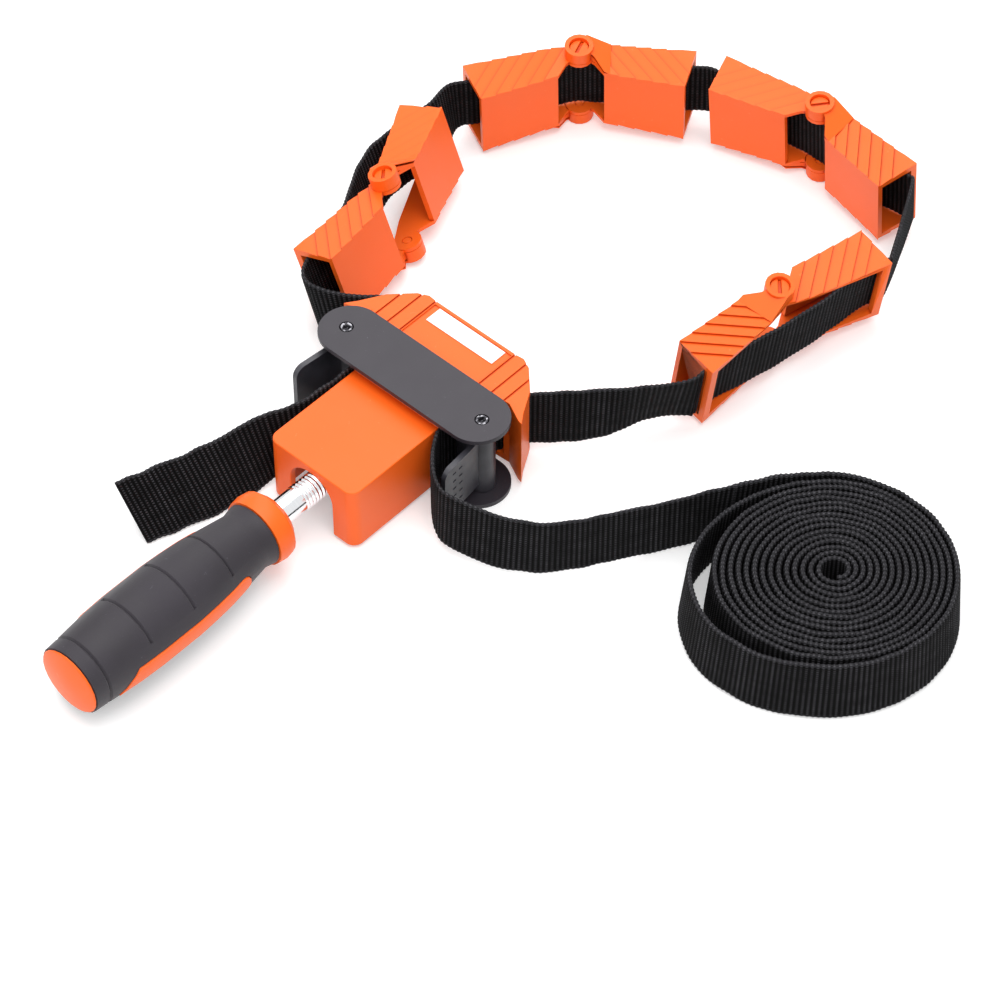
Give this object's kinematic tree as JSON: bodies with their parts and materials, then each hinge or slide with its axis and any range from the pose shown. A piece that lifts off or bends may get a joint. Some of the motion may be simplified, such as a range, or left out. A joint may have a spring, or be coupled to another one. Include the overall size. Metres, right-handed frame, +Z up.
{
  "type": "band clamp",
  "caption": "Band clamp: webbing loop with hinged corner jaws, two cam levers and a screw tensioner with grip handle, spare webbing coiled beside it.",
  "frame": {"origin": "underside of the bottom plate, midway between the two lever pivots", "axes": "+X along the spindle from the handle towards the work, +Y to the left of the tensioner, +Z up"},
  "size_m": [0.3647, 0.2928, 0.0402],
  "materials": {
    "orange_plastic": "moulded, semi-gloss",
    "dark_plate": "satin dark grey coat",
    "lever": "moulded, satin",
    "grip": "soft matt",
    "chrome": "bright plated",
    "steel": "zinc plated",
    "pivot_steel": "blackened and oiled",
    "label": "blank sticker",
    "webbing": "ribbed woven webbing"
  },
  "bodies": {
    "yoke": {"rear_housing": "orange_plastic", "bottom_plate": "dark_plate", "top_plate": "dark_plate", "pivot_pin_left": "pivot_steel", "pivot_pin_right": "pivot_steel", "spindle_nut": "pivot_steel", "jaw_1_half_a": "orange_plastic", "jaw_1_pin_top": "orange_plastic", "jaw_1_pin_bottom": "orange_plastic", "jaw_2_half_a": "orange_plastic", "jaw_2_pin_top": "orange_plastic", "jaw_2_pin_bottom": "orange_plastic", "jaw_3_half_a": "orange_plastic", "jaw_3_pin_top": "orange_plastic", "jaw_3_pin_bottom": "orange_plastic", "jaw_4_half_a": "orange_plastic", "jaw_4_pin_top": "orange_plastic", "jaw_4_pin_bottom": "orange_plastic", "strap_in_jaw_1": "webbing", "strap_in_jaw_2": "webbing", "strap_in_jaw_3": "webbing", "strap_in_jaw_4": "webbing", "strap_jaw_1_to_2": "webbing", "strap_jaw_2_to_3": "webbing", "strap_jaw_3_to_4": "webbing", "strap_left_feed": "webbing", "strap_right_feed": "webbing", "strap_left_span": "webbing", "strap_jaw_4_span": "webbing", "strap_right_span": "webbing", "strap_tail": "webbing", "strap_run": "webbing", "strap_coil": "webbing"},
    "head": {"pressure_head": "orange_plastic", "label": "label", "thrust_cup": "steel"},
    "screw": {"spindle": "chrome", "retaining_clip": "steel", "handle_core": "orange_plastic", "handle_grip": "grip", "handle_cap": "orange_plastic"},
    "lever_left": {"cam_lever_left": "lever"},
    "lever_right": {"cam_lever_right": "lever"},
    "jaw_1_far": {"jaw_1_half_b": "orange_plastic"},
    "jaw_2_far": {"jaw_2_half_b": "orange_plastic"},
    "jaw_3_far": {"jaw_3_half_b": "orange_plastic"},
    "jaw_4_far": {"jaw_4_half_b": "orange_plastic"}
  },
  "joints": [
    {"name": "head_slide", "type": "slide", "parent": "yoke", "child": "head", "axis": [1, 0, 0], "range_m": [-0.0035, 0.012], "deforming": ["strap_left_feed", "strap_left_span", "strap_right_span", "strap_right_feed"]},
    {"name": "spindle_spin", "type": "hinge", "parent": "head", "child": "screw", "pos_m": [-0.06, 0, 0.0171], "axis": [1, 0, 0], "range_deg": [-842, 2882]},
    {"name": "lever_left_swing", "type": "hinge", "parent": "yoke", "child": "lever_left", "pos_m": [0, 0.0315, 0.0171], "axis": [0, 0, -1], "range_deg": [0, 40]},
    {"name": "lever_right_swing", "type": "hinge", "parent": "yoke", "child": "lever_right", "pos_m": [0, -0.0315, 0.0171], "axis": [0, 0, 1], "range_deg": [0, 40]},
    {"name": "jaw_1_hinge", "type": "hinge", "parent": "yoke", "child": "jaw_1_far", "pos_m": [0.06119, 0.0661, 0.02033], "axis": [0.0988, -0.2621, -0.96], "range_deg": [-5.5, 127.5], "deforming": ["strap_in_jaw_1", "strap_jaw_1_to_2"]},
    {"name": "jaw_2_hinge", "type": "hinge", "parent": "yoke", "child": "jaw_2_far", "pos_m": [0.157, 0.0647, 0.01989], "axis": [0.0998, 0.0634, -0.993], "range_deg": [-56.9, 76.1], "deforming": ["strap_in_jaw_2", "strap_jaw_2_to_3"]},
    {"name": "jaw_3_hinge", "type": "hinge", "parent": "yoke", "child": "jaw_3_far", "pos_m": [0.1935, -0.0198, 0.01989], "axis": [0.1163, 0.0118, -0.9931], "range_deg": [-48.7, 84.3], "deforming": ["strap_in_jaw_3", "strap_jaw_3_to_4"]},
    {"name": "jaw_4_hinge", "type": "hinge", "parent": "yoke", "child": "jaw_4_far", "pos_m": [0.1127, -0.065, 0.02], "axis": [0.0474, 0.149, -0.9877], "range_deg": [-13.4, 119.6], "deforming": ["strap_in_jaw_4", "strap_jaw_4_span"]}
  ],
  "couplings": [
    {"joint": "spindle_spin", "follows": "head_slide", "rad_per_m": 4188.8}
  ]
}
